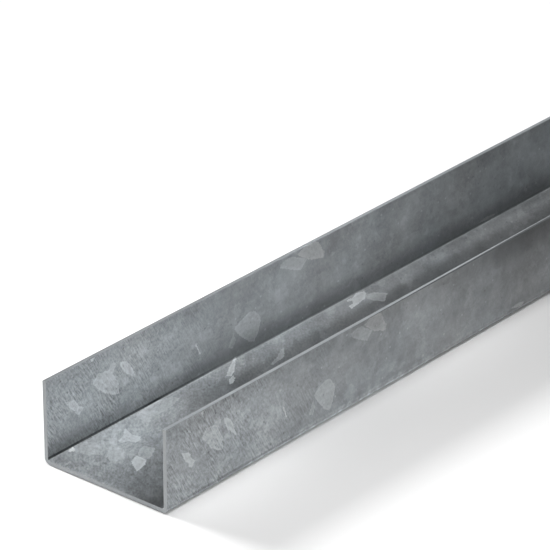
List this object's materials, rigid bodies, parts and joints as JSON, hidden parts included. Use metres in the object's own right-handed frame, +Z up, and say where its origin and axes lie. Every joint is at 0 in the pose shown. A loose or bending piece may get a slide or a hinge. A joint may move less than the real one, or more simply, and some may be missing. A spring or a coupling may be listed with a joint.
{
  "type": "steel u-channel",
  "caption": "Straight U-shaped channel folded from galvanized sheet steel, with two equal flanges, tight bends and square sawn ends, for framing, edging or holding a board.",
  "frame": {"origin": "middle of the underside of the web, halfway along the length", "axes": "+Y along the length, +X across the web from one flange to the other, +Z up out of the open side"},
  "size_m": [0.07, 1, 0.04],
  "materials": {
    "galvanized_steel": "hot-dip galvanized, matt blue-grey zinc with large pale spangles"
  },
  "bodies": {
    "root": {"u_channel": "galvanized_steel"}
  },
  "joints": []
}
